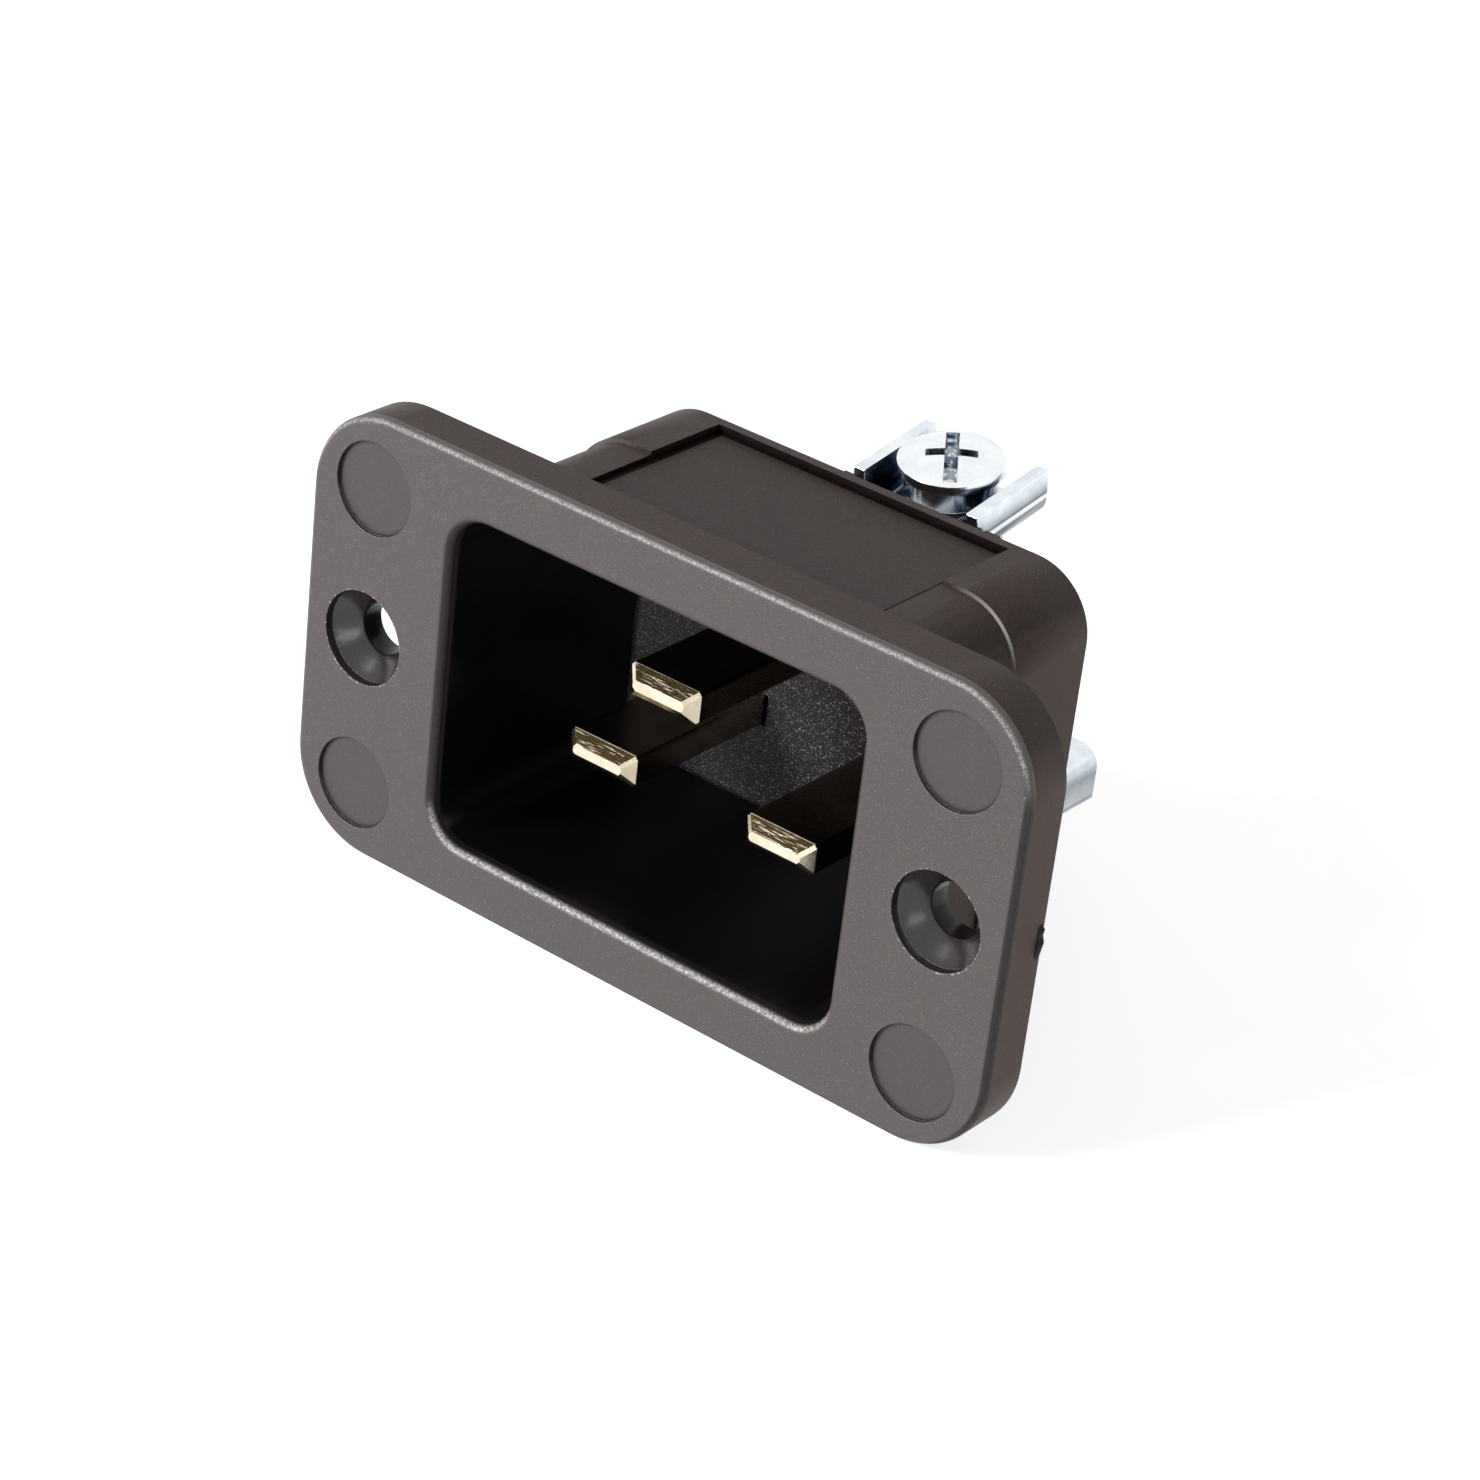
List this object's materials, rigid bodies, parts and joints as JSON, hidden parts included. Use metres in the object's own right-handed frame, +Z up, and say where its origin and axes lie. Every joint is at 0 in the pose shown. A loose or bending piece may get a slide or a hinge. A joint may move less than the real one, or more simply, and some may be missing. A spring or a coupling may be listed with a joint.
{
  "type": "iec panel inlet",
  "caption": "Panel-mount appliance inlet: countersunk rectangular flange, deep shroud around flat blade pins, and screw terminals with sliding clamp plates behind.",
  "frame": {"origin": "centre of the flange's back face, on the panel's plane", "axes": "front of the inlet faces -Y, +X to the right seen from the front, +Z up"},
  "size_m": [0.0506, 0.0312, 0.028],
  "materials": {
    "black_plastic": "fine spark-eroded texture",
    "plated_brass": "bright nickel-plated brass",
    "zinc_sheet": "bright blue zinc plate",
    "zinc_screw": "bright blue zinc plate"
  },
  "bodies": {
    "housing": {"housing": "black_plastic", "line_pin": "plated_brass", "neutral_pin": "plated_brass", "earth_pin": "plated_brass"},
    "line_clamp": {"line_clamp": "zinc_sheet"},
    "line_screw": {"line_screw": "zinc_screw", "line_lock_washer": "zinc_screw"},
    "neutral_clamp": {"neutral_clamp": "zinc_sheet"},
    "neutral_screw": {"neutral_screw": "zinc_screw", "neutral_lock_washer": "zinc_screw"},
    "earth_clamp": {"earth_clamp": "zinc_sheet"},
    "earth_screw": {"earth_screw": "zinc_screw", "earth_lock_washer": "zinc_screw"}
  },
  "joints": [
    {"name": "line_clamp_slide", "type": "slide", "parent": "housing", "child": "line_clamp", "axis": [0, 0, -1], "range_m": [0, 0.003]},
    {"name": "line_screw_turn", "type": "hinge", "parent": "line_clamp", "child": "line_screw", "pos_m": [0.0065, 0.0237, -0.00365], "axis": [0, 0, -1], "range_deg": [0, 1805]},
    {"name": "neutral_clamp_slide", "type": "slide", "parent": "housing", "child": "neutral_clamp", "axis": [0, 0, -1], "range_m": [0, 0.003]},
    {"name": "neutral_screw_turn", "type": "hinge", "parent": "neutral_clamp", "child": "neutral_screw", "pos_m": [-0.0065, 0.0237, -0.00365], "axis": [0, 0, -1], "range_deg": [0, 1805]},
    {"name": "earth_clamp_slide", "type": "slide", "parent": "housing", "child": "earth_clamp", "axis": [0, -0.1564, 0.9877], "range_m": [-0.00135, 0.00165]},
    {"name": "earth_screw_turn", "type": "hinge", "parent": "earth_clamp", "child": "earth_screw", "pos_m": [0, 0.02459, 0.00511], "axis": [0, -0.1564, 0.9877], "range_deg": [-815, 995]}
  ],
  "couplings": [
    {"joint": "line_screw_turn", "follows": "line_clamp_slide", "rad_per_m": 10472},
    {"joint": "neutral_screw_turn", "follows": "neutral_clamp_slide", "rad_per_m": 10472},
    {"joint": "earth_screw_turn", "follows": "earth_clamp_slide", "rad_per_m": 10472}
  ]
}
